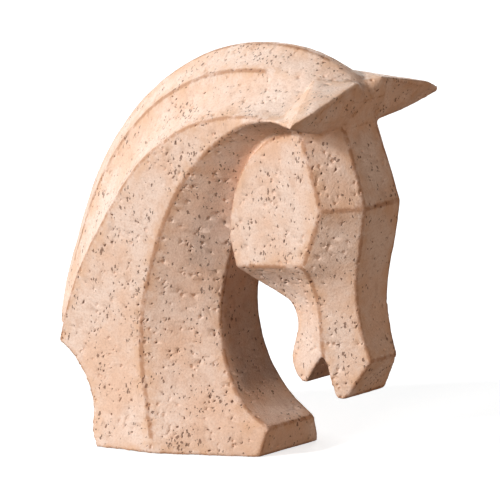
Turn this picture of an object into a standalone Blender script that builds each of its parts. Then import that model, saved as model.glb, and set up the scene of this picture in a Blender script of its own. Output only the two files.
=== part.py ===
"""Horse head ornament: one faceted stone block, symmetric about its length.

The horse looks along +X, its left side is +Y and the base rests on Z = 0.
Every line of the carving is laid out in divisions of the height.
"""

import bmesh
import bpy
import numpy as np
from mathutils import Vector

# Driving sizes
HEIGHT = 0.270
DIVISIONS = 270.0

# Half widths of the carving, in divisions of the height
BRIDGE_SPARE = 0.45
CREST_HALF = 3.0
MANE_HALF = 22.0
CHEEK_HALF = 40.0
THROAT_HALF = 19.0
MANE_HOLLOW = 4.5

# Shortest edge left after a cut, as a share of the height
NEEDLE = 0.00008

# Sampling of the curved lines
NECK_RINGS = 52
RIM_STEPS = 6
SIDE_STEPS = 4

# Neck lines from below the floor to the poll: along, half width, up
CREST = (
    (-134.0, CREST_HALF, -14.0),
    (-137.0, CREST_HALF, 26.0),
    (-138.0, CREST_HALF, 44.0),
    (-137.0, CREST_HALF, 64.0),
    (-123.4, CREST_HALF, 118.0),
    (-100.3, CREST_HALF, 176.0),
    (-61.0, CREST_HALF, 226.0),
    (-6.5, CREST_HALF, 260.0),
    (47.0, CREST_HALF, 270.0),
    (86.0, CREST_HALF, 264.8),
    (106.0, CREST_HALF, 256.0),
)
MANE = (
    (-118.0, MANE_HALF, -14.0),
    (-120.0, MANE_HALF, 26.0),
    (-121.5, MANE_HALF, 44.0),
    (-121.5, MANE_HALF, 63.0),
    (-108.6, MANE_HALF, 115.0),
    (-87.2, MANE_HALF, 168.5),
    (-50.9, MANE_HALF, 215.0),
    (-1.1, MANE_HALF, 246.0),
    (49.0, MANE_HALF, 255.5),
    (86.0, MANE_HALF - 3.0, 255.0),
    (106.0, MANE_HALF - 14.0, 254.6),
)
FLANK = (
    (-92.0, 90.0, -14.0),
    (-95.0, 64.0, 25.0),
    (-96.0, 60.0, 43.0),
    (-95.0, 57.0, 64.0),
    (-85.0, 54.0, 104.0),
    (-62.5, 51.5, 148.0),
    (-34.0, 50.0, 188.5),
    (7.0, 49.8, 218.0),
    (52.0, 53.0, 230.8),
    (88.0, 63.0, 233.6),
    (106.0, 72.0, 234.6),
)
RIDGE = (
    (-5.0, 69.0, -14.0),
    (-17.0, 61.0, 18.5),
    (-23.0, 57.2, 36.0),
    (-29.0, 53.4, 53.0),
    (-31.2, 50.6, 85.0),
    (-22.0, 49.6, 129.0),
    (-2.0, 49.6, 173.7),
    (25.0, 51.5, 204.5),
    (56.0, 55.5, 224.8),
    (86.0, 62.0, 232.0),
    (106.0, 68.0, 230.5),
)
THROAT = (
    (49.8, THROAT_HALF + 18.0, -14.0),
    (53.6, THROAT_HALF + 5.5, 18.7),
    (33.0, THROAT_HALF + 6.0, 32.5),
    (20.0, THROAT_HALF + 4.0, 51.0),
    (10.8, THROAT_HALF + 1.0, 84.0),
    (18.5, THROAT_HALF, 130.0),
    (38.0, THROAT_HALF, 170.0),
    (62.0, THROAT_HALF, 198.0),
    (84.0, THROAT_HALF + 1.0, 212.0),
    (98.0, THROAT_HALF + 2.0, 220.0),
    (106.0, THROAT_HALF + 2.0, 224.0),
)

# Under the mane: outline of the hollow that sweeps down to the base
COVE = (
    (-52.5, 0.0),
    (-58.5, 9.0),
    (-61.5, 18.0),
    (-67.5, 34.0),
    (-78.0, 48.5),
    (-87.0, 57.0),
    (-97.0, 62.5),
    (-112.0, 64.5),
    (-150.0, 64.0),
)

# Head lines from the poll to below the chin, as three runs with corners between
BRIDGE = (
    (
        (105.6, 17.0, 238.0),
        (109.8, 17.0, 223.5),
        (120.9, 17.8, 195.0),
        (128.3, 18.8, 173.5),
    ),
    (
        (128.3, 18.8, 173.5),
        (125.0, 18.8, 150.5),
        (122.2, 18.0, 136.5),
    ),
    (
        (122.2, 18.0, 136.5),
        (120.5, 17.3, 122.0),
        (120.6, 16.0, 106.5),
        (123.6, 15.3, 91.0),
        (129.6, 14.2, 71.8),
        (126.0, 16.3, 40.0),
    ),
)
CREASE = (
    (
        (87.0, CHEEK_HALF, 236.0),
        (91.8, CHEEK_HALF, 220.0),
        (100.4, CHEEK_HALF, 195.0),
        (108.0, CHEEK_HALF, 172.6),
    ),
    (
        (108.0, CHEEK_HALF, 172.6),
        (99.4, CHEEK_HALF, 149.2),
        (93.8, CHEEK_HALF, 133.7),
    ),
    (
        (93.8, CHEEK_HALF, 133.7),
        (94.4, CHEEK_HALF - 8.6, 121.0),
        (97.0, CHEEK_HALF - 12.0, 106.0),
        (98.3, CHEEK_HALF - 12.8, 90.0),
        (98.9, CHEEK_HALF - 13.8, 73.8),
        (99.0, CHEEK_HALF - 13.2, 40.0),
    ),
)
JAW = (
    (
        (60.0, CHEEK_HALF, 236.0),
        (60.0, CHEEK_HALF, 220.0),
        (60.0, CHEEK_HALF, 195.0),
        (60.0, CHEEK_HALF, 170.0),
    ),
    (
        (60.0, CHEEK_HALF, 170.0),
        (64.0, CHEEK_HALF, 147.0),
        (66.0, CHEEK_HALF, 130.3),
    ),
    (
        (66.0, CHEEK_HALF, 130.3),
        (68.0, CHEEK_HALF - 14.0, 116.0),
        (71.0, CHEEK_HALF - 21.0, 104.0),
        (71.0, CHEEK_HALF - 22.0, 88.0),
        (67.0, CHEEK_HALF - 22.0, 70.0),
        (74.0, CHEEK_HALF - 19.0, 40.0),
    ),
)
NAPE = (
    (
        (22.0, CHEEK_HALF, 236.0),
        (22.0, CHEEK_HALF, 220.0),
        (22.0, CHEEK_HALF, 192.0),
        (22.0, CHEEK_HALF, 165.0),
    ),
    (
        (22.0, CHEEK_HALF, 165.0),
        (22.0, CHEEK_HALF, 141.0),
        (22.0, CHEEK_HALF, 124.9),
    ),
    (
        (22.0, CHEEK_HALF, 124.9),
        (30.0, CHEEK_HALF - 19.0, 113.0),
        (48.0, CHEEK_HALF - 24.0, 102.5),
        (56.0, CHEEK_HALF - 25.0, 88.0),
        (52.0, CHEEK_HALF - 25.0, 70.0),
        (56.0, CHEEK_HALF - 24.0, 40.0),
    ),
)

# Outline of the head from the side, run by run, with a corner between runs
FACE = ((106.0, 229.0), (109.8, 223.5), (115.0, 209.8), (120.9, 195.0), (128.3, 173.5))
NOSE = (
    (128.3, 173.5),
    (125.0, 150.0),
    (120.8, 126.5),
    (120.3, 108.0),
    (124.0, 88.5),
    (129.8, 71.5),
)
LIP = ((115.6, 47.4), (111.8, 45.2), (108.4, 45.6), (106.4, 48.8), (98.9, 73.8))
CHIN = ((94.0, 68.0), (88.4, 61.0), (83.0, 52.8), (78.0, 52.6))
MANDIBLE = (
    (78.0, 52.6),
    (72.0, 57.0),
    (67.0, 68.0),
    (69.6, 79.6),
    (72.4, 87.5),
    (66.3, 104.1),
)
JOWL = ((66.3, 104.1), (52.0, 111.6), (43.5, 116.4), (38.6, 124.4))
CHEEK_RIM = (
    (38.6, 124.4),
    (32.7, 147.0),
    (35.2, 172.0),
    (44.6, 195.1),
    (60.0, 211.0),
    (77.5, 219.8),
    (88.0, 222.4),
    (94.0, 226.0),
)

# Corner points of one ear and of the forelock between the ears
EAR = (
    (88.0, 20.0, 254.6),
    (110.0, CREST_HALF, 252.8),
    (118.4, 13.0, 255.0),
    (113.6, CREST_HALF, 249.6),
    (120.4, 62.0, 244.0),
    (114.0, 79.0, 236.6),
    (112.6, 79.0, 233.8),
    (110.0, 63.0, 229.2),
    (105.6, 47.0, 224.6),
    (109.4, 19.0, 226.0),
    (116.4, CREST_HALF, 241.0),
    (88.0, 61.0, 231.4),
    (91.0, 40.0, 225.0),
    (98.0, 20.0, 219.0),
    (88.0, 10.0, 219.0),
)
EAR_HOLLOW = (
    (126.0, 14.0, 253.0),
    (126.0, 58.0, 245.0),
    (126.0, 46.0, 229.0),
    (126.0, 14.0, 232.0),
    (117.2, 17.0, 251.0),
    (117.8, 52.0, 241.5),
    (112.5, 46.0, 231.5),
    (112.0, 20.0, 233.5),
)
FORELOCK = (
    (92.0, CREST_HALF, 262.0),
    (106.0, CREST_HALF, 256.2),
    (113.4, CREST_HALF, 250.0),
    (116.6, CREST_HALF, 241.0),
    (113.4, 5.0, 234.6),
    (109.6, 17.0, 223.8),
    (92.0, 17.0, 220.0),
)


def scaled(*parts: float) -> Vector:
    """Turns divisions of the height into metres."""
    return Vector(parts) * (HEIGHT / DIVISIONS)


def smooth(points, samples):
    """Runs a smooth curve through the points and samples it evenly by station.

    Args:
        points: the stations the curve passes through.
        samples: how many points to return, both ends included.

    Returns:
        A list of vectors.
    """
    knots = np.array(points, dtype=float)
    gaps = np.linalg.norm(np.diff(knots, axis=0), axis=1)
    slopes = np.diff(knots, axis=0) / gaps[:, None]
    lean = np.zeros_like(knots)
    lean[0], lean[-1] = slopes[0], slopes[-1]
    weight = gaps[:-1] + gaps[1:]
    lean[1:-1] = (slopes[:-1] * gaps[1:, None] + slopes[1:] * gaps[:-1, None]) / weight[:, None]
    curve = []
    for place in np.linspace(0, len(knots) - 1, samples):
        i = min(int(place), len(knots) - 2)
        t, gap = place - i, gaps[i]
        start = (1 + 2 * t) * (1 - t) ** 2 * knots[i] + t * (1 - t) ** 2 * gap * lean[i]
        end = t * t * (3 - 2 * t) * knots[i + 1] + t * t * (t - 1) * gap * lean[i + 1]
        curve.append(scaled(*(start + end)))
    return curve


def cornered(points, bend, samples):
    """Samples a neck line that has one sharp corner at the station called bend."""
    head = smooth(points[: bend + 1], 4)
    return head[:-1] + smooth(points[bend:], samples - 3)


def between(first, second):
    """Lines evenly spread across the ruled side from one line to the next."""
    shares = [step / SIDE_STEPS for step in range(1, SIDE_STEPS)]
    return [[a.lerp(b, share) for a, b in zip(first, second)] for share in shares]


def hollowed(outer, inner, heart, depth):
    """Points between two neck lines, pushed in to make a shallow hollow.

    Args:
        outer: the line nearer the crest.
        inner: the line nearer the flank.
        heart: a line inside the neck that the hollow sinks towards.
        depth: the deepest sinking, one value per sample.

    Returns:
        Three lines, evenly spread across the hollow.
    """
    lines = []
    for share in (0.25, 0.5, 0.75):
        line = []
        for a, b, core, sink in zip(outer, inner, heart, depth):
            across = b - a
            towards = core - (a + b) / 2
            towards -= across * (towards.dot(across) / across.length_squared)
            arch = 4 * share * (1 - share)
            line.append(a + across * share + towards.normalized() * (sink * arch))
        lines.append(line)
    return lines


def new_object(name, mesh, collection):
    """Wraps a mesh in an object and links it to the collection."""
    item = bpy.data.objects.new(name, mesh)
    collection.objects.link(item)
    return item


def finish_mesh(bm, name):
    """Turns every face outward, triangulates and returns the mesh."""
    bmesh.ops.triangulate(bm, faces=bm.faces[:])
    bmesh.ops.recalc_face_normals(bm, faces=bm.faces[:])
    mesh = bpy.data.meshes.new(name)
    bm.to_mesh(mesh)
    bm.free()
    return mesh


def loft(name, lines, collection):
    """Joins matching points of the lines and of their mirror images into a body.

    Args:
        name: the object's name.
        lines: lines on the right side, in order round the section.
        collection: where the object goes.

    Returns:
        The closed object.
    """
    bm = bmesh.new()
    rings = []
    for station in zip(*lines):
        near = [bm.verts.new((p.x, -p.y, p.z)) for p in station]
        far = [bm.verts.new((p.x, p.y, p.z)) for p in reversed(station)]
        rings.append(near + far)
    for low, high in zip(rings, rings[1:]):
        for i in range(len(low)):
            j = (i + 1) % len(low)
            bm.faces.new((low[i], low[j], high[j], high[i]))
    caps = [bm.faces.new(rings[0]), bm.faces.new(rings[-1])]
    bmesh.ops.poke(bm, faces=caps)
    return new_object(name, finish_mesh(bm, name), collection)


def slab(name, outline, half, collection):
    """Extrudes a side outline across the width with a flat curve.

    Args:
        name: the object's name.
        outline: the corner points as along and up, in metres.
        half: half of the width to fill.
        collection: where the object goes.

    Returns:
        The closed object, standing upright.
    """
    curve = bpy.data.curves.new(name + "_outline", "CURVE")
    curve.dimensions = "2D"
    curve.fill_mode = "BOTH"
    curve.extrude = half
    run = curve.splines.new("POLY")
    run.points.add(len(outline) - 1)
    for point, corner in zip(run.points, outline):
        point.co = (corner.x, corner.y, 0.0, 1.0)
    run.use_cyclic_u = True
    source = new_object(name + "_outline", curve, collection)
    bpy.context.view_layer.update()
    mesh = bpy.data.meshes.new_from_object(source)
    bpy.data.objects.remove(source)
    bm = bmesh.new()
    bm.from_mesh(mesh)
    bpy.data.meshes.remove(mesh)
    for vert in bm.verts:
        vert.co = Vector((vert.co.x, vert.co.z, vert.co.y))
    bmesh.ops.remove_doubles(bm, verts=bm.verts[:], dist=half * 1e-4)
    return new_object(name, finish_mesh(bm, name), collection)


def hull(name, corners, sides, collection):
    """Wraps corner points in flat faces.

    Args:
        name: the object's name.
        corners: the corners as along, half width and up.
        sides: -1 for the right side, 1 for the left, or both.
        collection: where the object goes.

    Returns:
        The closed object.
    """
    bm = bmesh.new()
    for x, y, z in corners:
        for side in sides:
            bm.verts.new(scaled(x, side * y, z))
    bmesh.ops.convex_hull(bm, input=bm.verts[:])
    spare = [v for v in bm.verts if not v.link_faces]
    bmesh.ops.delete(bm, geom=spare, context="VERTS")
    return new_object(name, finish_mesh(bm, name), collection)


def combine(body, other, operation):
    """Adds an exact Boolean modifier between two bodies."""
    step = body.modifiers.new(operation.lower() + "_" + other.name, "BOOLEAN")
    step.operation = operation
    step.solver = "EXACT"
    step.object = other


def apply_steps(body):
    """Replaces a body's mesh with the result of its modifiers, its needle edges merged."""
    bpy.context.view_layer.update()
    graph = bpy.context.evaluated_depsgraph_get()
    mesh = bpy.data.meshes.new_from_object(body.evaluated_get(graph))
    body.modifiers.clear()
    bm = bmesh.new()
    bm.from_mesh(mesh)
    bmesh.ops.remove_doubles(bm, verts=bm.verts[:], dist=HEIGHT * NEEDLE)
    bmesh.ops.dissolve_degenerate(bm, edges=bm.edges[:], dist=HEIGHT * NEEDLE)
    bmesh.ops.triangulate(bm, faces=bm.faces[:])
    bm.to_mesh(mesh)
    bm.free()
    body.data = mesh


def neck(collection):
    """The neck with its crest, hollow mane band, flank and throat."""
    lines = [cornered(line, 1, NECK_RINGS) for line in (CREST, MANE, FLANK, RIDGE, THROAT)]
    crest, mane, flank, ridge, throat = lines
    heart = [Vector(((r.x + t.x) / 2, 0.0, r.z)) for r, t in zip(ridge, throat)]
    fade = [min(1.0, (NECK_RINGS - 1 - i) / RIM_STEPS) for i in range(NECK_RINGS)]
    depth = [MANE_HOLLOW * HEIGHT / DIVISIONS * share for share in fade]
    band = hollowed(mane, flank, heart, depth)
    sides = [flank, *between(flank, ridge), ridge, *between(ridge, throat), throat]
    return loft("horse_head", [crest, mane, *band, *sides], collection)


def head_lines():
    """Lines of the head's side planes, from the bridge round to the nape."""
    lines = []
    for brow, cheek, muzzle in (BRIDGE, CREASE, JAW, NAPE):
        top = smooth(brow, RIM_STEPS)
        middle = smooth(cheek, RIM_STEPS)
        low = smooth(muzzle, RIM_STEPS * 3)
        lines.append(top[:-1] + middle[:-1] + low)
    bridge, crease, jaw, nape = lines
    front = [a + (a - b) * BRIDGE_SPARE for a, b in zip(bridge, crease)]
    face = [front, *between(front, crease), crease]
    return [*face, *between(crease, jaw), jaw, *between(jaw, nape), nape]


def side_outline():
    """The head's outline from the side as one closed run of points."""
    runs = (
        (FACE, RIM_STEPS),
        (NOSE, RIM_STEPS * 3),
        (LIP, len(LIP)),
        (CHIN, len(CHIN)),
        (MANDIBLE, RIM_STEPS * 3),
        (JOWL, RIM_STEPS),
        (CHEEK_RIM, RIM_STEPS * 5),
    )
    outline = []
    for points, samples in runs:
        for point in smooth(points, samples):
            if not outline or (point - outline[-1]).length > HEIGHT * 1e-4:
                outline.append(point)
    return outline


def main():
    """Builds the ornament in an empty scene."""
    for item in list(bpy.data.objects):
        bpy.data.objects.remove(item)
    parts = bpy.data.collections.new("horse_head_ornament")
    cutters = bpy.data.collections.new("horse_head_cutters")
    for collection in (parts, cutters):
        bpy.context.scene.collection.children.link(collection)

    body = neck(parts)
    wide = HEIGHT
    deep = HEIGHT / 8
    cove = smooth(COVE, RIM_STEPS * 5)
    under = [cove[0] - Vector((0.0, deep))]
    behind = [Vector((-wide, cove[-1].y)), Vector((-wide, under[0].y))]
    hollow = slab("cove", under + cove + behind, wide, cutters)
    face = slab("profile", side_outline(), wide, cutters)
    head = loft("head", head_lines(), cutters)
    extras = [
        hull("forelock", FORELOCK, (-1, 1), cutters),
        hull("right_ear", EAR, (-1,), cutters),
        hull("left_ear", EAR, (1,), cutters),
    ]
    corners = ((-wide, 0.0), (wide, 0.0), (wide, -deep), (-wide, -deep))
    floor = slab("floor", [Vector(corner) for corner in corners], wide, cutters)

    for ear, side in zip(extras[1:], (-1, 1)):
        combine(ear, hull("ear_hollow", EAR_HOLLOW, (side,), cutters), "DIFFERENCE")
        apply_steps(ear)
    combine(head, face, "INTERSECT")
    apply_steps(head)
    steps = [(hollow, "DIFFERENCE"), (head, "UNION")]
    steps += [(extra, "UNION") for extra in extras]
    for other, operation in [*steps, (floor, "DIFFERENCE")]:
        combine(body, other, operation)
        apply_steps(body)

    stone = bpy.data.materials.new("honed_stone")
    stone.use_nodes = True
    shader = stone.node_tree.nodes["Principled BSDF"]
    shader.inputs["Base Color"].default_value = (0.80, 0.62, 0.50, 1.0)
    shader.inputs["Roughness"].default_value = 0.75
    body.data.materials.clear()
    body.data.materials.append(stone)

    for item in cutters.objects:
        item.hide_render = True
        item.display_type = "WIRE"


main()
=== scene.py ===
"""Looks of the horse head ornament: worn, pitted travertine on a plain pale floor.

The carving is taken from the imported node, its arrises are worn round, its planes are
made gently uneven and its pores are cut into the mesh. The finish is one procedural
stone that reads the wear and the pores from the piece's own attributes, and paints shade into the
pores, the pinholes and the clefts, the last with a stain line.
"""

import logging
import math
from dataclasses import dataclass, field
from enum import Enum

import bmesh
import bpy
import numpy as np
from mathutils import Matrix, Vector, noise
from mathutils.geometry import intersect_point_line
from mathutils.kdtree import KDTree


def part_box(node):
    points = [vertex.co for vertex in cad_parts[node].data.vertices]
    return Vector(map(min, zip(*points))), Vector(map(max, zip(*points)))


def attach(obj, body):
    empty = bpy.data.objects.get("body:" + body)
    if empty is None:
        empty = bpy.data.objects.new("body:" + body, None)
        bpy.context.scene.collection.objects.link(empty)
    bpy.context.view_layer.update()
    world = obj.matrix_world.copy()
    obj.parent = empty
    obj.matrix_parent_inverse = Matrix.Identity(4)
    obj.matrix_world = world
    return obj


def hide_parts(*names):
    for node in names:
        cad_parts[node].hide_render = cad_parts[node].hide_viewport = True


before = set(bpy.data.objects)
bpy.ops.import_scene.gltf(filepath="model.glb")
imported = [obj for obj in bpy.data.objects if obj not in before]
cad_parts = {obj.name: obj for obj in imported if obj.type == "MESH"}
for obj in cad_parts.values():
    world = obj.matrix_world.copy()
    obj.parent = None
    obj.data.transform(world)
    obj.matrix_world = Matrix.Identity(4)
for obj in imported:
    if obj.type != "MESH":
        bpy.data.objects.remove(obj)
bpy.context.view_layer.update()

LOG = logging.getLogger("horse_head")

WHITE = (1.0, 1.0, 1.0, 1.0)

# The mesh near a pore: its finest edge in metres, then shares of the pore's half width. These are the
# edge that can follow it, the rim round it, how far from its mouth it is cut, and its ragged outline.
FINEST_EDGE = 0.00058
EDGE_SHARE = 0.62
RIM_SHARE = 0.9
CUT_SHARE = 2.5
RAGGED_SIZE = 1.1
RAGGED_HEIGHT = 0.15

# How far the beds of the stone lean, for its tints and its pinholes.
BEDDING_TILT = math.radians(-28.0)


class PoreKind(Enum):
    """The kinds of opening that show in the stone."""

    PIT = "pit"
    SLOT = "slot"
    DIMPLE = "dimple"
    GROOVE = "groove"


@dataclass(frozen=True)
class PoreSize:
    """How one kind of pore is cut, in metres.

    Attributes:
        kind: which kind this is.
        count: how many are cut over the whole piece.
        radius: smallest and largest half width.
        stretch: smallest and largest ratio of length to width.
        depth: depth as a share of the half width.
        bend: largest bow of its middle line, as a share of the length.
        pore_shade: how dark its floor is painted, as painted shade in the hollow, from 0 to 1.
        wall: power of the bowl's profile; the smaller, the steeper its wall.
    """

    kind: PoreKind
    count: int
    radius: tuple[float, float]
    stretch: tuple[float, float]
    depth: float
    bend: float
    pore_shade: float
    wall: float


@dataclass(frozen=True)
class Pore:
    """One pore, placed on the surface.

    Attributes:
        size: the kind it belongs to.
        centre: where its mouth is.
        along: unit vector of its length, in the surface.
        across: unit vector of its width, in the surface.
        inward: unit vector into the stone.
        half_width: half of its width.
        half_length: half of its length.
        bow: how far its middle line bows sideways at its middle.
    """

    size: PoreSize
    centre: Vector
    along: Vector
    across: Vector
    inward: Vector
    half_width: float
    half_length: float
    bow: float

    @property
    def reach(self) -> float:
        """Radius of the ball that holds the whole pore and its rim."""
        return math.hypot(self.half_length, self.bow) + self.half_width * RIM_SHARE

    @property
    def edge(self) -> float:
        """Longest mesh edge that can still follow the pore."""
        return max(FINEST_EDGE, self.half_width * EDGE_SHARE)

    def covers(self, place: Vector, slack: float) -> bool:
        """Tells whether a place lies over the pore or its rim.

        Args:
            place: a point on the surface.
            slack: how far past the pore's outline still counts.

        Returns:
            True where it does.
        """
        arm = place - self.centre
        s = arm.dot(self.along)
        if abs(s) > self.half_length + slack:
            return False
        t = arm.dot(self.across) - self.bow * (1.0 - (s / self.half_length) ** 2)
        return abs(t) < self.half_width + slack

    def bowl(self, place: Vector) -> float:
        """Depth of the pore at a place, as a share of its deepest.

        Args:
            place: a point near the surface.

        Returns:
            A number from 0 outside the pore to 1 at its floor.
        """
        arm = place - self.centre
        if abs(arm.dot(self.inward)) > self.half_width * CUT_SHARE:
            return 0.0
        s = arm.dot(self.along) / self.half_length
        t = (arm.dot(self.across) - self.bow * (1.0 - s * s)) / self.half_width
        ragged = RAGGED_HEIGHT * noise.noise(place / (self.half_width * RAGGED_SIZE))
        r = math.hypot(s, t) + ragged
        return (1.0 - r * r) ** self.size.wall if r < 1.0 else 0.0


@dataclass
class PoreField:
    """Scatters pores over the carving and cuts them.

    Attributes:
        seed: seed of every random draw.
        sizes: the kinds of pore and their sizes.
        cluster: size of the patches that hold more pores.
        bedding: width of the beds that hold more pores.
        bed_height: scale of the beds upwards; the smaller it is, the taller they are.
        patch_share: what the patches add to the crowding.
        bed_share: what the beds add to it.
        contrast: power that parts the crowded places from the bare ones.
        gain: what the crowding is multiplied by.
        fewest: the least share of the pores that a place keeps.
        lay: direction in which the long pores lie.
        flattest: least length of that direction in the surface for it to count.
        swing: how far the long pores turn from it.
        turn_bias: power that keeps most of them near it.
        width_bias: power that makes the wide pores rare.
        foot: height above the floor below which no pore is cut.
        rim: how far round a pore the mesh is split.
        passes: how often the mesh is split near the pores.
    """

    seed: int = 7
    sizes: tuple[PoreSize, ...] = (
        # Columns: kind, count, radius, stretch, depth, bend, painted shade of the floor, wall.
        PoreSize(PoreKind.PIT, 700, (0.00040, 0.00080), (1.0, 1.9), 1.3, 0.2, 0.85, 0.55),
        PoreSize(PoreKind.SLOT, 480, (0.00038, 0.00062), (1.8, 4.0), 1.3, 0.5, 0.80, 0.55),
        PoreSize(PoreKind.DIMPLE, 800, (0.00080, 0.00145), (1.0, 1.3), 0.75, 0.0, 0.22, 0.60),
        PoreSize(PoreKind.GROOVE, 230, (0.00055, 0.00085), (2.6, 5.0), 0.85, 0.8, 0.25, 0.60),
    )
    cluster: float = 0.034
    bedding: float = 0.012
    bed_height: float = 0.4
    patch_share: float = 0.65
    bed_share: float = 0.55
    contrast: int = 3
    gain: float = 3.2
    fewest: float = 0.05
    lay: Vector = field(default_factory=lambda: Vector((0.45, 0.0, 0.9)).normalized())
    flattest: float = 0.2
    swing: float = math.radians(75.0)
    turn_bias: int = 3
    width_bias: float = 1.8
    foot: float = 0.002
    rim: float = 0.0002
    passes: int = 4

    def crowding(self, place: Vector) -> float:
        """Share of the pores that a place keeps, from the stone's bedding.

        Args:
            place: a point on the surface.

        Returns:
            A number from 0 to 1.
        """
        drawn_out = Vector((place.x, place.y, place.z * self.bed_height))
        patch = noise.noise(place / self.cluster) * 0.5 + 0.5
        bed = noise.noise(drawn_out / self.bedding) * 0.5 + 0.5
        crowd = (patch * self.patch_share + bed * self.bed_share) ** self.contrast
        return min(1.0, max(self.fewest, crowd * self.gain))

    def scatter(self, bm: bmesh.types.BMesh) -> list[Pore]:
        """Places every pore on the surface.

        Args:
            bm: the carving, triangulated.

        Returns:
            The pores, in the order in which they were drawn.
        """
        rng = np.random.default_rng(self.seed)
        faces = [face for face in bm.faces if face.calc_center_median().z > self.foot]
        areas = np.array([face.calc_area() for face in faces])
        share = np.cumsum(areas) / areas.sum()
        pores: list[Pore] = []
        for size in self.sizes:
            made = 0
            while made < size.count:
                face = faces[int(np.searchsorted(share, rng.random()))]
                a, b, c = (vert.co for vert in face.verts)
                u, v = sorted(rng.random(2))
                centre = a * u + b * (v - u) + c * (1.0 - v)
                draws = rng.random(5)
                if draws[4] > self.crowding(centre):
                    continue
                pores.append(self.shape(size, face.normal, centre, draws))
                made += 1
        return pores

    def shape(self, size: PoreSize, outward: Vector, centre: Vector, draws: np.ndarray) -> Pore:
        """Turns random draws into one pore.

        Args:
            size: the kind of pore.
            outward: the surface's normal.
            centre: where it lies.
            draws: draws for its direction, width, length and bow.

        Returns:
            The pore.
        """
        outward = outward.copy()
        along = self.lay - outward * self.lay.dot(outward)
        if along.length < self.flattest:
            along = outward.orthogonal()
        turn = self.swing * (2.0 * draws[0] - 1.0) ** self.turn_bias
        along = Matrix.Rotation(turn, 3, outward) @ along.normalized()
        low, high = size.radius
        half_width = low + (high - low) * draws[1] ** self.width_bias
        shortest, longest = size.stretch
        half_length = half_width * (shortest + (longest - shortest) * draws[2])
        bow = half_length * size.bend * (2.0 * draws[3] - 1.0)
        across = outward.cross(along)
        return Pore(size, centre, along, across, -outward, half_width, half_length, bow)

    def refine(self, bm: bmesh.types.BMesh, pores: list[Pore]) -> None:
        """Splits the edges near each pore until they can follow it.

        Args:
            bm: the carving.
            pores: the pores to be cut.
        """
        tree = KDTree(len(pores))
        for index, pore in enumerate(pores):
            tree.insert(pore.centre, index)
        tree.balance()
        widest = max(pore.reach for pore in pores)
        for _ in range(self.passes):
            long_edges = []
            for edge in bm.edges:
                length = edge.calc_length()
                a, b = edge.verts[0].co, edge.verts[1].co
                middle = (a + b) / 2
                for place, index, _gap in tree.find_range(middle, widest + length / 2):
                    pore = pores[index]
                    if length <= pore.edge:
                        continue
                    nearest, share = intersect_point_line(place, a, b)
                    nearest = nearest if 0.0 < share < 1.0 else (a if share <= 0.0 else b)
                    if pore.covers(nearest, self.rim):
                        long_edges.append(edge)
                        break
            bmesh.ops.subdivide_edges(bm, edges=long_edges, cuts=1)
            bmesh.ops.triangulate(bm, faces=[face for face in bm.faces if len(face.verts) > 3])

    def carve(self, bm: bmesh.types.BMesh, pores: list[Pore]) -> None:
        """Pushes the surface in at each pore and notes how much painted shade its floor gets.

        Args:
            bm: the refined carving.
            pores: the pores to cut.
        """
        layer = bm.verts.layers.float.new("pore")
        tree = KDTree(len(bm.verts))
        bm.verts.ensure_lookup_table()
        for vert in bm.verts:
            tree.insert(vert.co, vert.index)
        tree.balance()
        moves: dict[int, Vector] = {}
        for pore in pores:
            depth = pore.half_width * pore.size.depth
            for place, index, _gap in tree.find_range(pore.centre, pore.reach):
                bowl = pore.bowl(place)
                if bowl <= 0.0:
                    continue
                vert = bm.verts[index]
                # The pore's floor is darkened as painted shade, most in the deep kinds.
                vert[layer] = max(vert[layer], bowl * pore.size.pore_shade)
                if index not in moves or moves[index].length < depth * bowl:
                    moves[index] = pore.inward * (depth * bowl)
        for index, move in moves.items():
            bm.verts[index].co += move


class EdgeLines:
    """Points along the sharp edges of the carving."""

    def __init__(self, points: list[Vector], sharp: list[float]) -> None:
        """Args:
            points: places along the edges.
            sharp: how sharp the edge is at each of them, from 0 to 1.
        """
        self.sharp = sharp
        self.tree = KDTree(len(points))
        for index, point in enumerate(points):
            self.tree.insert(point, index)
        self.tree.balance()

    def nearness(self, place: Vector, halo: float) -> float:
        """How near a place is to a sharp edge.

        Args:
            place: a point on the surface.
            halo: the distance at which it falls to 0.

        Returns:
            A number from 0 far away to 1 on a sharp edge.
        """
        _point, index, gap = self.tree.find(place)
        return self.sharp[index] * max(0.0, 1.0 - gap / halo)


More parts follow.
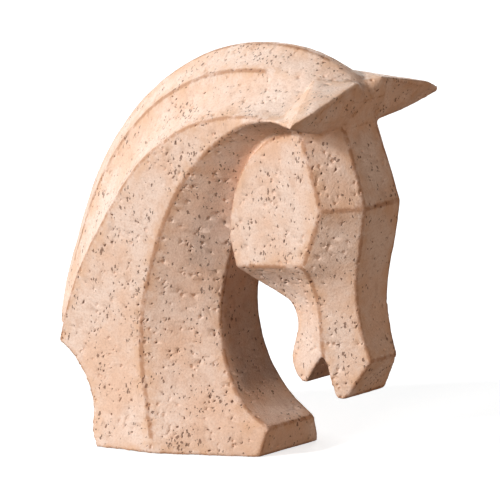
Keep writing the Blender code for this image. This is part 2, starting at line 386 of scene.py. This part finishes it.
@dataclass
class Carving:
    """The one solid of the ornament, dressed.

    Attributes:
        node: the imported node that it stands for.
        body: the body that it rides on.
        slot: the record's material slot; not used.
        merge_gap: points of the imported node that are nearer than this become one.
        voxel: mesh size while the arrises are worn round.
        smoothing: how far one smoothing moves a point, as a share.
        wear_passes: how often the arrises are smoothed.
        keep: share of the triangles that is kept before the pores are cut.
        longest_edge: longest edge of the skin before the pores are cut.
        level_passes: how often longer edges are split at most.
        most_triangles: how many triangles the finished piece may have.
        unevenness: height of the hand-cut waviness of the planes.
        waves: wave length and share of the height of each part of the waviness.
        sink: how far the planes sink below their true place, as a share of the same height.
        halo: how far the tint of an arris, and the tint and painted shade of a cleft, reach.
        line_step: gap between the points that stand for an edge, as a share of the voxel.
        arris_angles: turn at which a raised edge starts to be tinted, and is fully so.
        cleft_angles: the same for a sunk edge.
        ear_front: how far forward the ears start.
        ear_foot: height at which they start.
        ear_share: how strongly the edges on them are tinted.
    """

    node: str = "horse_head"
    body: str = "root"
    slot: str = "stone"
    merge_gap: float = 2e-6
    voxel: float = 0.0014
    smoothing: float = 0.5
    wear_passes: int = 5
    keep: float = 0.22
    longest_edge: float = 0.0090
    level_passes: int = 4
    most_triangles: int = 190_000
    unevenness: float = 0.00028
    waves: tuple[tuple[float, float], ...] = ((0.021, 1.0), (0.0065, 0.45), (0.0021, 0.22))
    sink: float = 0.75
    halo: float = 0.014
    line_step: float = 0.5
    arris_angles: tuple[float, float] = (math.radians(12.0), math.radians(19.0))
    cleft_angles: tuple[float, float] = (math.radians(26.0), math.radians(40.0))
    ear_front: float = 0.082
    ear_foot: float = 0.218
    ear_share: float = 0.90

    def block(self) -> bpy.types.Object:
        """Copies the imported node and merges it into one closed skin.

        Returns:
            The new object, linked to the scene.
        """
        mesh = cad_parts[self.node].data.copy()
        mesh.name = "carved_stone"
        bm = bmesh.new()
        bm.from_mesh(mesh)
        bmesh.ops.remove_doubles(bm, verts=bm.verts[:], dist=self.merge_gap)
        bmesh.ops.triangulate(bm, faces=bm.faces[:])
        bm.to_mesh(mesh)
        bm.free()
        mesh.materials.clear()
        item = bpy.data.objects.new("carved_stone", mesh)
        bpy.context.scene.collection.objects.link(item)
        return item

    def edge_lines(self, item: bpy.types.Object, raised: bool) -> EdgeLines:
        """Finds the arrises or the clefts of the carving before they are worn.

        Args:
            item: the sharp carving.
            raised: True for the raised edges, False for the sunk ones.

        Returns:
            Points along the edges, with how sharp each edge is.
        """
        bm = bmesh.new()
        bm.from_mesh(item.data)
        blunt, keen = self.arris_angles if raised else self.cleft_angles
        ear_share = self.ear_share if raised else 0.0
        points: list[Vector] = []
        sharp: list[float] = []
        for edge in bm.edges:
            if len(edge.link_faces) != 2 or edge.is_convex is not raised:
                continue
            a, b = (vert.co.copy() for vert in edge.verts)
            share = (edge.calc_face_angle(0.0) - blunt) / (keen - blunt)
            if share <= 0.0:
                continue
            if min(a.x, b.x) > self.ear_front and min(a.z, b.z) > self.ear_foot:
                share = min(1.0, share) * ear_share
            steps = max(1, int((b - a).length / (self.voxel * self.line_step)))
            points.extend(a.lerp(b, i / steps) for i in range(steps + 1))
            sharp.extend([min(1.0, share)] * (steps + 1))
        bm.free()
        return EdgeLines(points, sharp)

    def level(self, bm: bmesh.types.BMesh) -> None:
        """Splits the long edges that thinning leaves, so that pores get even faces.

        Args:
            bm: the worn carving.
        """
        for _ in range(self.level_passes):
            longest = [edge for edge in bm.edges if edge.calc_length() > self.longest_edge]
            if not longest:
                break
            bmesh.ops.subdivide_edges(bm, edges=longest, cuts=1)
            bmesh.ops.triangulate(bm, faces=[face for face in bm.faces if len(face.verts) > 3])

    def wear(self, item: bpy.types.Object) -> None:
        """Remeshes the carving evenly, rounds its arrises and thins its flat parts.

        Args:
            item: the sharp carving.
        """
        remesh = item.modifiers.new("even_skin", "REMESH")
        remesh.mode = "VOXEL"
        remesh.voxel_size = self.voxel
        smooth = item.modifiers.new("worn_arrises", "SMOOTH")
        smooth.factor = self.smoothing
        smooth.iterations = self.wear_passes
        thin = item.modifiers.new("fewer_triangles", "DECIMATE")
        thin.ratio = self.keep
        self.apply(item)

    def apply(self, item: bpy.types.Object) -> None:
        """Replaces the object's mesh by what its modifiers make of it."""
        graph = bpy.context.evaluated_depsgraph_get()
        mesh = bpy.data.meshes.new_from_object(item.evaluated_get(graph))
        item.modifiers.clear()
        item.data = mesh

    def thin_out(self, item: bpy.types.Object) -> None:
        """Takes triangles out of the flat places until the piece is light enough.

        Args:
            item: the carving with its pores.
        """
        count = len(item.data.polygons)
        if count > self.most_triangles:
            thin = item.modifiers.new("light_enough", "DECIMATE")
            thin.ratio = self.most_triangles / count
            self.apply(item)

    def note_edges(self, bm: bmesh.types.BMesh, name: str, lines: EdgeLines) -> None:
        """Notes how near each point is to an edge line, for its tint and, in the clefts, its painted
        shade.

        Args:
            bm: the worn carving.
            name: the attribute to write.
            lines: the edge lines.
        """
        layer = bm.verts.layers.float.new(name)
        for vert in bm.verts:
            vert[layer] = lines.nearness(vert.co, self.halo)

    def roughen(self, bm: bmesh.types.BMesh) -> None:
        """Makes the planes gently uneven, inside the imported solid's box.

        Args:
            bm: the worn carving.
        """
        bm.normal_update()
        low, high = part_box(self.node)
        for vert in bm.verts:
            height = sum(share * noise.noise(vert.co / length) for length, share in self.waves)
            vert.co += vert.normal * (self.unevenness * (height - self.sink))
            for axis in range(3):
                vert.co[axis] = min(high[axis], max(low[axis], vert.co[axis]))

    def build(self, pores: PoreField) -> bpy.types.Object:
        """Makes the finished mesh.

        Args:
            pores: the pores to cut into it.

        Returns:
            The finished object.
        """
        item = self.block()
        arrises = self.edge_lines(item, True)
        clefts = self.edge_lines(item, False)
        self.wear(item)
        bm = bmesh.new()
        bm.from_mesh(item.data)
        bmesh.ops.triangulate(bm, faces=bm.faces[:])
        self.level(bm)
        self.roughen(bm)
        LOG.info("worn skin: %d triangles", len(bm.faces))
        placed = pores.scatter(bm)
        pores.refine(bm, placed)
        self.note_edges(bm, "arris", arrises)
        self.note_edges(bm, "cleft", clefts)
        pores.carve(bm, placed)
        bmesh.ops.recalc_face_normals(bm, faces=bm.faces[:])
        bm.to_mesh(item.data)
        bm.free()
        self.thin_out(item)
        item.data.shade_smooth()
        LOG.info("%s: %d triangles, %d pores", item.name, len(item.data.polygons), len(placed))
        return item

    def dress(self, item: bpy.types.Object, finish: bpy.types.Material) -> None:
        """Gives the carving its finish and its place in the frame.

        Args:
            item: the finished carving.
            finish: the stone material.
        """
        item.data.materials.append(finish)
        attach(item, self.body)
        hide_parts(self.node)


@dataclass(frozen=True)
class NoiseLook:
    """Size and texture of one noise.

    Attributes:
        scale: how many waves it has to a metre.
        detail: how many finer octaves it has.
        roughness: how strong the finer octaves are.
    """

    scale: float
    detail: float
    roughness: float = 0.5


@dataclass(frozen=True)
class Relief:
    """How a bump map turns the surface.

    Attributes:
        strength: share of its effect.
        height: its height in metres.
    """

    strength: float
    height: float


class NodeBoard:
    """Places and wires shader nodes in one tree."""

    def __init__(self, tree: bpy.types.NodeTree) -> None:
        """Keeps the tree that the nodes go into.

        Args:
            tree: a material's tree or a node group.
        """
        self.tree = tree

    def add(self, kind: str, **values: object) -> bpy.types.Node:
        """Adds a node and sets its properties and inputs.

        Args:
            kind: the node's type name.
            **values: properties or inputs by name.

        Returns:
            The new node.
        """
        node = self.tree.nodes.new(kind)
        for name, value in values.items():
            if hasattr(node, name):
                setattr(node, name, value)
            else:
                node.inputs[name].default_value = value
        return node

    def wire(self, source: bpy.types.NodeSocket, target: bpy.types.NodeSocket) -> None:
        """Joins an output to an input."""
        self.tree.links.new(source, target)

    def feed(self, node: bpy.types.Node, values: dict[int, object]) -> None:
        """Fills inputs of a node.

        Args:
            node: the node.
            values: a socket to wire or a value to set, by the input's number.
        """
        for index, value in values.items():
            if isinstance(value, bpy.types.NodeSocket):
                self.wire(value, node.inputs[index])
            else:
                node.inputs[index].default_value = value

    def math(self, kind: str, *values: object) -> bpy.types.NodeSocket:
        """Adds a Math node.

        Args:
            kind: the operation.
            *values: its sockets or numbers, in order.

        Returns:
            The node's output.
        """
        node = self.add("ShaderNodeMath", operation=kind)
        self.feed(node, dict(enumerate(values)))
        return node.outputs[0]

    def band(self, value: bpy.types.NodeSocket, low: float, high: float) -> bpy.types.NodeSocket:
        """Turns a value into a soft mask between two limits.

        Args:
            value: the value to judge.
            low: where the mask is 0.
            high: where the mask is 1.

        Returns:
            The mask.
        """
        node = self.add("ShaderNodeMapRange", interpolation_type="SMOOTHSTEP")
        self.feed(node, {0: value, 1: low, 2: high})
        return node.outputs["Result"]

    def mix(self, share: object, first: object, second: object) -> bpy.types.NodeSocket:
        """Mixes two colours.

        Args:
            share: a socket or a number from 0 to 1.
            first: a socket or a colour.
            second: a socket or a colour.

        Returns:
            The mixed colour.
        """
        node = self.add("ShaderNodeMix", data_type="RGBA")
        self.feed(node, {0: share, 6: first, 7: second})
        return node.outputs[2]

    def place(self) -> bpy.types.NodeSocket:
        """Adds the piece's own coordinates."""
        return self.add("ShaderNodeTexCoord").outputs["Object"]

    def lean(
        self, place: bpy.types.NodeSocket, squeeze: tuple[float, ...]
    ) -> bpy.types.NodeSocket:
        """Leans coordinates along the beds of the stone.

        Args:
            place: the coordinates.
            squeeze: their scale along each axis of the beds.

        Returns:
            The leaning coordinates.
        """
        node = self.add("ShaderNodeMapping")
        node.inputs["Rotation"].default_value = (0.0, BEDDING_TILT, 0.0)
        node.inputs["Scale"].default_value = squeeze
        self.wire(place, node.inputs["Vector"])
        return node.outputs["Vector"]

    def noise(
        self, place: bpy.types.NodeSocket, look: NoiseLook, output: str = "Fac"
    ) -> bpy.types.NodeSocket:
        """Adds a noise.

        Args:
            place: the coordinates at which it is read.
            look: its size and texture.
            output: which output to use.

        Returns:
            That output.
        """
        values = {"Scale": look.scale, "Detail": look.detail, "Roughness": look.roughness}
        node = self.add("ShaderNodeTexNoise", **values)
        self.wire(place, node.inputs["Vector"])
        return node.outputs[output]

    def bump(
        self,
        height: bpy.types.NodeSocket,
        relief: Relief,
        below: bpy.types.NodeSocket | None = None,
    ) -> bpy.types.NodeSocket:
        """Adds a bump map.

        Args:
            height: the heights, from 0 to 1.
            relief: how they turn the surface.
            below: the normal of the bump map that it lies on.

        Returns:
            The normal.
        """
        node = self.add("ShaderNodeBump", Strength=relief.strength, Distance=relief.height)
        self.wire(height, node.inputs["Height"])
        if below is not None:
            self.wire(below, node.inputs["Normal"])
        return node.outputs["Normal"]


def open_group(
    name: str, inputs: dict[str, tuple[str, object]], outputs: dict[str, str]
) -> tuple[bpy.types.NodeTree, bpy.types.Node, bpy.types.Node]:
    """Starts a shader node group with named sockets.

    Args:
        name: the group's name.
        inputs: socket type and default value by name.
        outputs: socket type by name.

    Returns:
        The tree, its input node and its output node.
    """
    tree = bpy.data.node_groups.new(name, "ShaderNodeTree")
    for label, (kind, value) in inputs.items():
        socket = tree.interface.new_socket(label, in_out="INPUT", socket_type=kind)
        socket.default_value = value
    for label, kind in outputs.items():
        tree.interface.new_socket(label, in_out="OUTPUT", socket_type=kind)
    return tree, tree.nodes.new("NodeGroupInput"), tree.nodes.new("NodeGroupOutput")


@dataclass(frozen=True)
class Mottling:
    """Cloudy colour of the stone, with faint slanting beds and fine specks.

    Attributes:
        clouds: the broad warm clouds.
        cloud_limits: where a cloud starts and is full.
        beds: the thin beds.
        bed_squeeze: scale of the beds along each of their axes.
        bed_limits: where a bed starts and is full.
        bed_share: how strong a bed is.
        specks: the fine specks.
        speck_limits: where a speck starts and is full.
        speck_share: how strong a speck is.
    """

    clouds: NoiseLook = NoiseLook(30.0, 6.0, 0.62)
    cloud_limits: tuple[float, float] = (0.38, 0.66)
    beds: NoiseLook = NoiseLook(150.0, 4.0, 0.66)
    bed_squeeze: tuple[float, float, float] = (1.0, 0.8, 0.5)
    bed_limits: tuple[float, float] = (0.50, 0.74)
    bed_share: float = 0.42
    specks: NoiseLook = NoiseLook(700.0, 3.0, 0.75)
    speck_limits: tuple[float, float] = (0.42, 0.72)
    speck_share: float = 0.44

    def group(self) -> bpy.types.NodeTree:
        """Builds the node group that turns three colours into one.

        Returns:
            The group.
        """
        colour = "NodeSocketColor"
        tints = {name: (colour, WHITE) for name in ("Pale", "Warm", "Deep")}
        tree, take, give = open_group("stone_mottling", tints, {"Color": colour})
        board = NodeBoard(tree)
        place = board.place()
        leaning = board.lean(place, self.bed_squeeze)
        cloud = board.band(board.noise(place, self.clouds), *self.cloud_limits)
        base = board.mix(cloud, take.outputs["Pale"], take.outputs["Warm"])
        layers = (
            (leaning, self.beds, self.bed_limits, self.bed_share),
            (place, self.specks, self.speck_limits, self.speck_share),
        )
        for where, look, limits, strength in layers:
            share = board.math("MULTIPLY", board.band(board.noise(where, look), *limits), strength)
            base = board.mix(share, base, take.outputs["Deep"])
        board.wire(base, give.inputs["Color"])
        return tree


@dataclass(frozen=True)
class Pinholes:
    """Pores too small for the mesh, drawn as bumps and as dark dots of painted shade.

    Attributes:
        scale: how many cells that may hold one lie along a metre.
        amount: radius of the widest, as a share of a cell.
        rim: width of their soft rims, as a share of a cell.
        size_bias: power that makes the wide ones rare.
        squeeze: scale of the cells along each axis of the beds.
        warp: noise that makes their outlines ragged.
        warp_reach: how far it moves them, in metres.
        patches: noise that crowds them together.
        patch_limits: where a patch starts and is full.
    """

    scale: float = 560.0
    amount: float = 0.62
    rim: float = 0.12
    size_bias: float = 2.2
    squeeze: tuple[float, float, float] = (1.0, 0.9, 0.55)
    warp: NoiseLook = NoiseLook(420.0, 3.0)
    warp_reach: float = 0.0028
    patches: NoiseLook = NoiseLook(70.0, 3.0)
    patch_limits: tuple[float, float] = (0.30, 0.66)

    def group(self) -> bpy.types.NodeTree:
        """Builds the node group that gives a mask of them and their height.

        Returns:
            The group.
        """
        number = "NodeSocketFloat"
        tree, take, give = open_group(
            "stone_pinholes",
            {"Scale": (number, self.scale), "Amount": (number, self.amount)},
            {"Mask": number, "Height": number},
        )
        board = NodeBoard(tree)
        place = board.place()
        shift = board.add("ShaderNodeVectorMath", operation="MULTIPLY_ADD")
        warp = board.noise(place, self.warp, "Color")
        board.feed(shift, {0: warp, 1: (self.warp_reach,) * 3, 2: board.lean(place, self.squeeze)})
        cells = board.add("ShaderNodeTexVoronoi", feature="F1", Randomness=1.0)
        board.wire(shift.outputs["Vector"], cells.inputs["Vector"])
        board.wire(take.outputs["Scale"], cells.inputs["Scale"])
        chance = board.add("ShaderNodeSeparateColor")
        board.wire(cells.outputs["Color"], chance.inputs["Color"])
        crowd = board.band(board.noise(place, self.patches), *self.patch_limits)
        drawn = board.math("POWER", chance.outputs["Red"], self.size_bias)
        kept = board.math("MULTIPLY", drawn, crowd)
        reach = board.math("MULTIPLY", kept, take.outputs["Amount"])
        hole = board.math("SUBTRACT", reach, cells.outputs["Distance"])
        mask = board.band(hole, 0.0, self.rim)
        board.wire(mask, give.inputs["Mask"])
        board.wire(board.math("SUBTRACT", 0.0, mask), give.inputs["Height"])
        return tree


@dataclass(frozen=True)
class EdgeStainAndShade:
    """A thin line on the arrises or in the clefts: a stain on the arrises, a stain with painted shade
    in the clefts.

    Attributes:
        name: the piece's attribute that says how near they are.
        limits: nearness at which the line starts and is full.
        share: how strong it is.
    """

    name: str
    limits: tuple[float, float]
    share: float


@dataclass(frozen=True)
class StoneFinish:
    """Matt pinkish travertine.

    Attributes:
        pale: colour of the clean stone.
        warm: colour of its warmer clouds.
        deep: colour of its beds and specks.
        halo: tint of the broad border along the arrises.
        line: tint of the thin line on the arrises, and of the stain with painted shade in the clefts.
        pore_shade: colour of the painted shade inside the pores and the pinholes.
        mottling: the clouds, beds and specks.
        pinholes: the smallest pores.
        ragged: noise that breaks the border and the lines up.
        border_limits: nearness at which the border starts and is full.
        border_breaks: where the noise leaves the border out and where it is whole.
        border_share: how strong the border is.
        fray: noise that frays the lines.
        fray_depth: how far it cuts into them, as a share of the halo.
        line_breaks: where the noise leaves the lines out and where they are whole.
        lines: the line on the arrises and the one in the clefts, which is partly painted shade.
        pinhole_share: how dark the painted shade in the pinholes is.
        pore_limits: painted shade at which a cut pore starts to darken and is darkest.
        pore_share: how dark that painted shade then is.
        roughness: how matt the stone is.
        roughness_span: how far that varies in all.
        shine: how strong its reflections are.
        grain: the finest unevenness of its skin.
        tooled: the coarser unevenness that the tools left.
        reliefs: bump maps of the pinholes, the tool marks and the grain.
    """

    pale: tuple[float, ...] = (0.88, 0.685, 0.575, 1.0)
    warm: tuple[float, ...] = (0.83, 0.565, 0.42, 1.0)
    deep: tuple[float, ...] = (0.57, 0.345, 0.235, 1.0)
    halo: tuple[float, ...] = (0.75, 0.46, 0.29, 1.0)
    line: tuple[float, ...] = (0.42, 0.195, 0.10, 1.0)
    pore_shade: tuple[float, ...] = (0.170, 0.080, 0.048, 1.0)
    mottling: Mottling = Mottling()
    pinholes: Pinholes = Pinholes()
    ragged: NoiseLook = NoiseLook(110.0, 5.0, 0.6)
    border_limits: tuple[float, float] = (0.10, 1.0)
    border_breaks: tuple[float, float] = (0.36, 0.66)
    border_share: float = 0.85
    fray: NoiseLook = NoiseLook(520.0, 3.0)
    fray_depth: float = 0.16
    line_breaks: tuple[float, float] = (0.24, 0.56)
    lines: tuple[EdgeStainAndShade, ...] = (
        EdgeStainAndShade("arris", (0.735, 0.86), 0.72),
        # The line in the clefts is partly a stain and partly painted shade in the creases.
        EdgeStainAndShade("cleft", (0.70, 0.88), 0.70),
    )
    pinhole_share: float = 0.74
    pore_limits: tuple[float, float] = (0.05, 0.85)
    pore_share: float = 0.92
    roughness: float = 0.72
    roughness_span: float = 0.16
    shine: float = 0.25
    grain: NoiseLook = NoiseLook(800.0, 4.0, 0.65)
    tooled: NoiseLook = NoiseLook(240.0, 4.0, 0.6)
    reliefs: tuple[Relief, ...] = (Relief(0.9, 0.0005), Relief(0.5, 0.0008), Relief(0.7, 0.0005))

    def base_colour(self, board: NodeBoard, holes: bpy.types.Node) -> bpy.types.NodeSocket:
        """Colours the stone: clouds, worn edges, a stain line with painted shade in the clefts, and
        painted shade in the pinholes and pores.

        Args:
            board: the material's tree.
            holes: the pinhole group's node.

        Returns:
            The colour.
        """
        clouds = board.add("ShaderNodeGroup", node_tree=self.mottling.group())
        for label, value in (("Pale", self.pale), ("Warm", self.warm), ("Deep", self.deep)):
            clouds.inputs[label].default_value = value
        near = {}
        for name in ("arris", "cleft", "pore"):
            near[name] = board.add("ShaderNodeAttribute", attribute_name=name).outputs["Fac"]
        place = board.place()
        ragged = board.noise(place, self.ragged)
        border = board.math(
            "MULTIPLY",
            board.band(near["arris"], *self.border_limits),
            board.band(ragged, *self.border_breaks),
        )
        border = board.math("MULTIPLY", border, self.border_share)
        colour = board.mix(border, clouds.outputs["Color"], self.halo)
        broken = board.band(ragged, *self.line_breaks)
        fray = board.math("MULTIPLY", board.noise(place, self.fray), self.fray_depth)
        # The line in the clefts is partly a stain and partly painted shade in the creases.
        for stain_and_shade in self.lines:
            frayed_edge = board.math("SUBTRACT", near[stain_and_shade.name], fray)
            thin = board.math("MULTIPLY", board.band(frayed_edge, *stain_and_shade.limits), broken)
            colour = board.mix(board.math("MULTIPLY", thin, stain_and_shade.share), colour, self.line)
        # Painted shade in the pinholes.
        small = board.math("MULTIPLY", holes.outputs["Mask"], self.pinhole_share)
        colour = board.mix(small, colour, self.pore_shade)
        # Painted shade on the floors of the cut pores.
        pore = board.band(near["pore"], *self.pore_limits)
        return board.mix(board.math("MULTIPLY", pore, self.pore_share), colour, self.pore_shade)

    def material(self) -> bpy.types.Material:
        """Builds the material.

        Returns:
            The finished stone.
        """
        stone = bpy.data.materials.new("pitted_travertine")
        stone.use_nodes = True
        board = NodeBoard(stone.node_tree)
        shader = stone.node_tree.nodes["Principled BSDF"]
        shader.inputs["Specular IOR Level"].default_value = self.shine
        holes = board.add("ShaderNodeGroup", node_tree=self.pinholes.group())
        holes.inputs["Scale"].default_value = self.pinholes.scale
        holes.inputs["Amount"].default_value = self.pinholes.amount
        board.wire(self.base_colour(board, holes), shader.inputs["Base Color"])
        place = board.place()
        grain = board.noise(place, self.grain)
        mattest = self.roughness - self.roughness_span / 2.0
        matt = board.math("MULTIPLY_ADD", grain, self.roughness_span, mattest)
        board.wire(matt, shader.inputs["Roughness"])
        normal = None
        heights = (holes.outputs["Height"], board.noise(place, self.tooled), grain)
        for height, relief in zip(heights, self.reliefs):
            normal = board.bump(height, relief, normal)
        board.wire(normal, shader.inputs["Normal"])
        return stone


@dataclass(frozen=True)
class FloorFinish:
    """Plain pale floor that throws little light back up.

    Attributes:
        seen: its colour in the picture.
        bounce: its colour for the light that it throws back.
        glow: light of its own in the picture, which keeps its shadows pale.
        roughness: how matt it is.
    """

    seen: tuple[float, ...] = (0.60, 0.60, 0.60, 1.0)
    bounce: tuple[float, ...] = (0.14, 0.10, 0.075, 1.0)
    glow: float = 0.72
    roughness: float = 0.9

    def material(self) -> bpy.types.Material:
        """Builds the material.

        Returns:
            The floor's paint.
        """
        paint = bpy.data.materials.new("pale_floor")
        paint.use_nodes = True
        board = NodeBoard(paint.node_tree)
        shader = paint.node_tree.nodes["Principled BSDF"]
        shader.inputs["Roughness"].default_value = self.roughness
        shader.inputs["Specular IOR Level"].default_value = 0.0
        seen = board.add("ShaderNodeLightPath").outputs["Is Camera Ray"]
        board.wire(board.mix(seen, self.bounce, self.seen), shader.inputs["Base Color"])
        shader.inputs["Emission Color"].default_value = WHITE
        board.wire(board.math("MULTIPLY", seen, self.glow), shader.inputs["Emission Strength"])
        return paint


@dataclass(frozen=True)
class Lamp:
    """A distant lamp with a soft edge.

    Attributes:
        name: what it does.
        towards: direction from the ornament to the lamp.
        strength: light on a plane that faces it.
        spread: angle that it fills, which softens its shadows.
        colour: its colour.
    """

    name: str
    towards: tuple[float, float, float]
    strength: float
    spread: float
    colour: tuple[float, float, float]

    def light(self) -> bpy.types.Light:
        """Builds the light's data."""
        light = bpy.data.lights.new(self.name, "SUN")
        light.energy = self.strength
        light.angle = self.spread
        light.color = self.colour
        return light


@dataclass
class Studio:
    """Pale floor, soft lights and the camera.

    Attributes:
        aim: the point that the middle of the picture looks at.
        azimuth: the camera's turn about the vertical, 0 looking along +Y.
        elevation: the camera's height above the horizon.
        distance: from the aim to the camera.
        lens: focal length in millimetres.
        sensor: width of the camera's sensor in millimetres.
        floor_radius: how far the floor runs out.
        floor_sides: how many sides its round edge has.
        lamps: the key, a softer one in front, two for the back and a warm fill from the right.
        ambient: strength of the light from all round.
        tone: colour of the light from all round.
    """

    aim: Vector = field(default_factory=lambda: Vector((0.01382, 0.00658, 0.12701)))
    azimuth: float = math.radians(38.0)
    elevation: float = math.radians(12.2)
    distance: float = 10.448
    lens: float = 1152.0
    sensor: float = 36.0
    floor_radius: float = 40.0
    floor_sides: int = 96
    lamps: tuple[Lamp, ...] = (
        Lamp("key", (-0.43, -0.78, 0.44), 2.70, math.radians(7.0), (1.0, 1.0, 1.0)),
        Lamp("front", (-0.08, -0.95, 0.28), 0.95, math.radians(16.0), (1.0, 0.95, 0.90)),
        Lamp("back", (-0.90, 0.20, 0.40), 1.50, math.radians(20.0), (0.88, 0.96, 1.0)),
        Lamp("fill", (0.99, -0.07, 0.10), 0.78, math.radians(10.0), (1.0, 0.77, 0.61)),
        Lamp("far", (-0.45, 0.85, 0.27), 1.50, math.radians(20.0), (1.0, 0.98, 0.96)),
    )
    ambient: float = 0.06
    tone: tuple[float, ...] = (0.85, 0.95, 1.0, 1.0)

    def link(self, name: str, data: bpy.types.ID) -> bpy.types.Object:
        """Adds an object to the scene."""
        item = bpy.data.objects.new(name, data)
        bpy.context.scene.collection.objects.link(item)
        return item

    def camera(self) -> None:
        """Places the camera at the photograph's angle."""
        lens = bpy.data.cameras.new("camera")
        lens.lens = self.lens
        lens.sensor_width = self.sensor
        lens.clip_end = self.distance + self.floor_radius * 2.0
        flat = math.cos(self.elevation)
        right = flat * math.sin(self.azimuth)
        back = -flat * math.cos(self.azimuth)
        away = Vector((right, back, math.sin(self.elevation)))
        item = self.link("camera", lens)
        item.location = self.aim + away * self.distance
        item.rotation_euler = away.to_track_quat("Z", "Y").to_euler()
        bpy.context.scene.camera = item

    def lights(self) -> None:
        """Hangs the lamps and sets the light from all round."""
        for lamp in self.lamps:
            item = self.link(lamp.name, lamp.light())
            item.rotation_euler = Vector(lamp.towards).to_track_quat("Z", "Y").to_euler()
        world = bpy.data.worlds.new("surround")
        world.use_nodes = True
        board = NodeBoard(world.node_tree)
        back = world.node_tree.nodes["Background"]
        seen = board.add("ShaderNodeLightPath").outputs["Is Camera Ray"]
        dim = tuple(part * self.ambient for part in self.tone)
        board.wire(board.mix(seen, dim, WHITE), back.inputs["Color"])
        bpy.context.scene.world = world
        bpy.context.scene.view_settings.view_transform = "Standard"

    def floor(self) -> None:
        """Lays a wide plain floor under the ornament."""
        mesh = bpy.data.meshes.new("floor")
        bm = bmesh.new()
        sides, radius = self.floor_sides, self.floor_radius
        bmesh.ops.create_circle(bm, cap_ends=True, segments=sides, radius=radius)
        bm.to_mesh(mesh)
        bm.free()
        item = self.link("floor", mesh)
        item.data.materials.append(FloorFinish().material())

    def build(self) -> None:
        """Sets up the whole studio."""
        self.floor()
        self.lights()
        self.camera()


def main() -> None:
    """Builds the ornament and the studio."""
    logging.basicConfig(level=logging.INFO, format="%(message)s")
    carving = Carving()
    item = carving.build(PoreField())
    carving.dress(item, StoneFinish().material())
    Studio().build()
    bpy.context.view_layer.update()


if __name__ == "__main__":
    main()
